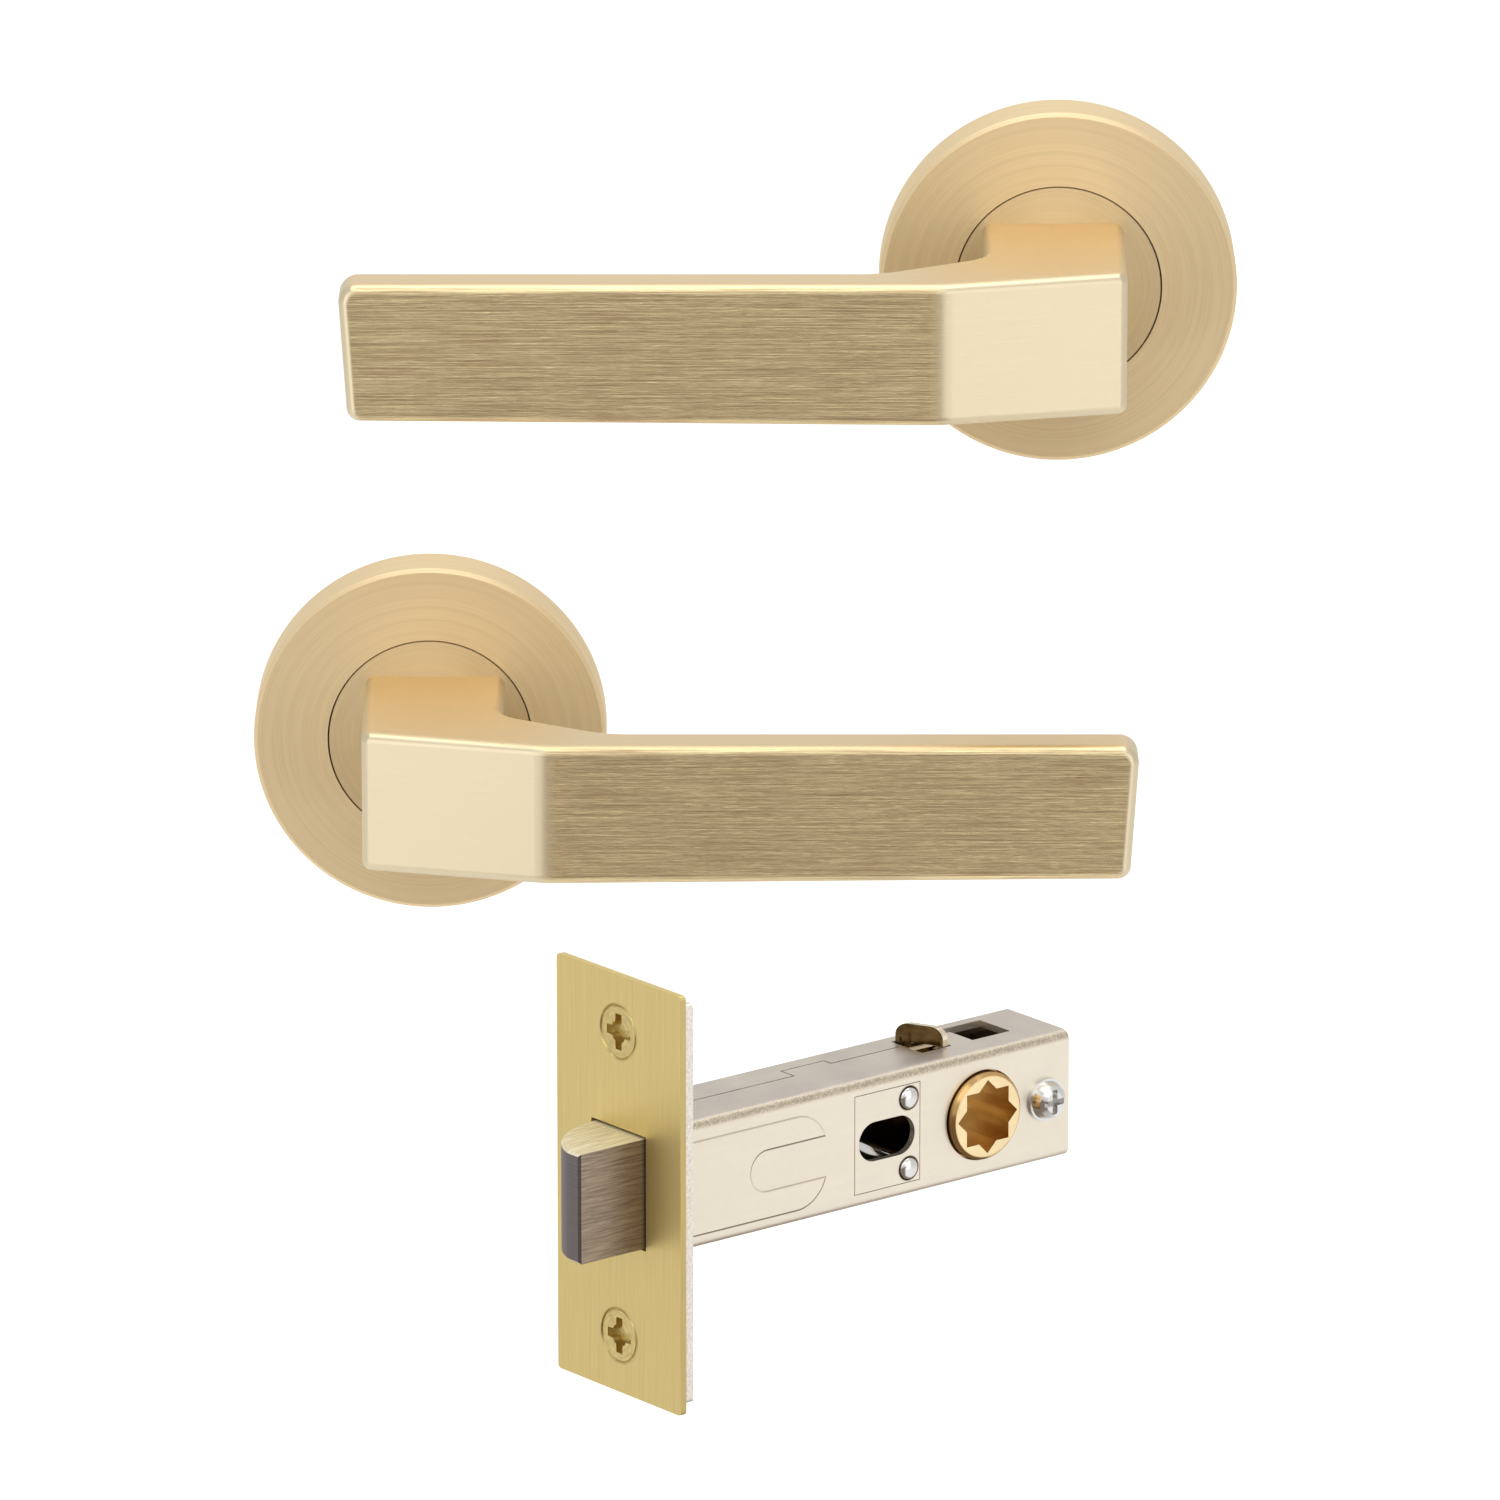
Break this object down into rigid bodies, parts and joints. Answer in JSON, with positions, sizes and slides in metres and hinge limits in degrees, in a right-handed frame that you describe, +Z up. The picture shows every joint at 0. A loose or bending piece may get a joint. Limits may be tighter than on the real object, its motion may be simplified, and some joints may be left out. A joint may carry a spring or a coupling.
{
  "type": "passage handle set",
  "caption": "Brushed brass lever handles on round roses, left and right hand, with a tubular latch that has a bevelled bolt and a brass faceplate.",
  "frame": {"origin": "The centre of the lower rose's back face, on its spindle axis, in the plane of the door.", "axes": "+X runs to the viewer's right along the lower lever, +Y goes into the door, square to both rose backs, and +Z is up. The latch stands in front, turned 39 degrees about Z."},
  "size_m": [0.18, 0.6561, 0.1639],
  "materials": {
    "lever_brass": "satin brushed, slightly darkened",
    "rose_brass": "satin, brushed in circles",
    "plate_brass": "satin brushed along its height",
    "bolt_brass": "brushed along the bolt",
    "hub_brass": "smooth, half gloss",
    "case_nickel": "nickel plated sheet, half gloss",
    "plate_steel": "zinc plated",
    "chrome_bright": "polished",
    "spring_steel": "plain drawn wire"
  },
  "bodies": {
    "set": {"lower_rose_cover": "rose_brass", "lower_rose_base": "plate_steel", "upper_rose_cover": "rose_brass", "upper_rose_base": "plate_steel", "lower_fixing_posts": "plate_steel", "upper_fixing_bolts": "plate_steel", "faceplate": "plate_brass", "back_plate": "plate_steel", "faceplate_screws": "plate_brass", "latch_case": "case_nickel", "near_slot_plate": "case_nickel", "far_slot_plate": "case_nickel", "cross_rivets": "chrome_bright", "rear_block": "case_nickel", "rear_screw": "chrome_bright"},
    "lower_handle": {"lower_lever": "lever_brass", "lower_circlip": "spring_steel", "lower_grub_screw": "plate_steel", "spindle": "plate_steel"},
    "upper_handle": {"upper_lever": "lever_brass", "upper_circlip": "spring_steel", "upper_grub_screw": "plate_steel"},
    "hub": {"hub": "hub_brass"},
    "bolt": {"latch_bolt": "bolt_brass", "retractor": "plate_steel"}
  },
  "joints": [
    {"name": "lower_lever_turn", "type": "hinge", "parent": "set", "child": "lower_handle", "pos_m": [0, 0, 0], "axis": [0, 1, 0], "range_deg": [0, 50], "stiffness_Nm_per_rad": 1.2, "springref_deg": -22.92},
    {"name": "upper_lever_turn", "type": "hinge", "parent": "set", "child": "upper_handle", "pos_m": [0.115, -0.0112, 0.0885], "axis": [0, -1, 0], "range_deg": [0, 50], "stiffness_Nm_per_rad": 1.2, "springref_deg": -22.92},
    {"name": "hub_turn", "type": "hinge", "parent": "set", "child": "hub", "pos_m": [0.08733, -0.55184, 0.1009], "axis": [-0.6293, 0.7771, 0], "range_deg": [0, 45]},
    {"name": "bolt_slide", "type": "slide", "parent": "set", "child": "bolt", "axis": [0.7771, 0.6293, 0], "range_m": [0, 0.0115], "stiffness_N_per_m": 250, "springref_m": -0.015}
  ],
  "couplings": [
    {"joint": "hub_turn", "follows": "bolt_slide", "rad_per_m": 68.2}
  ]
}
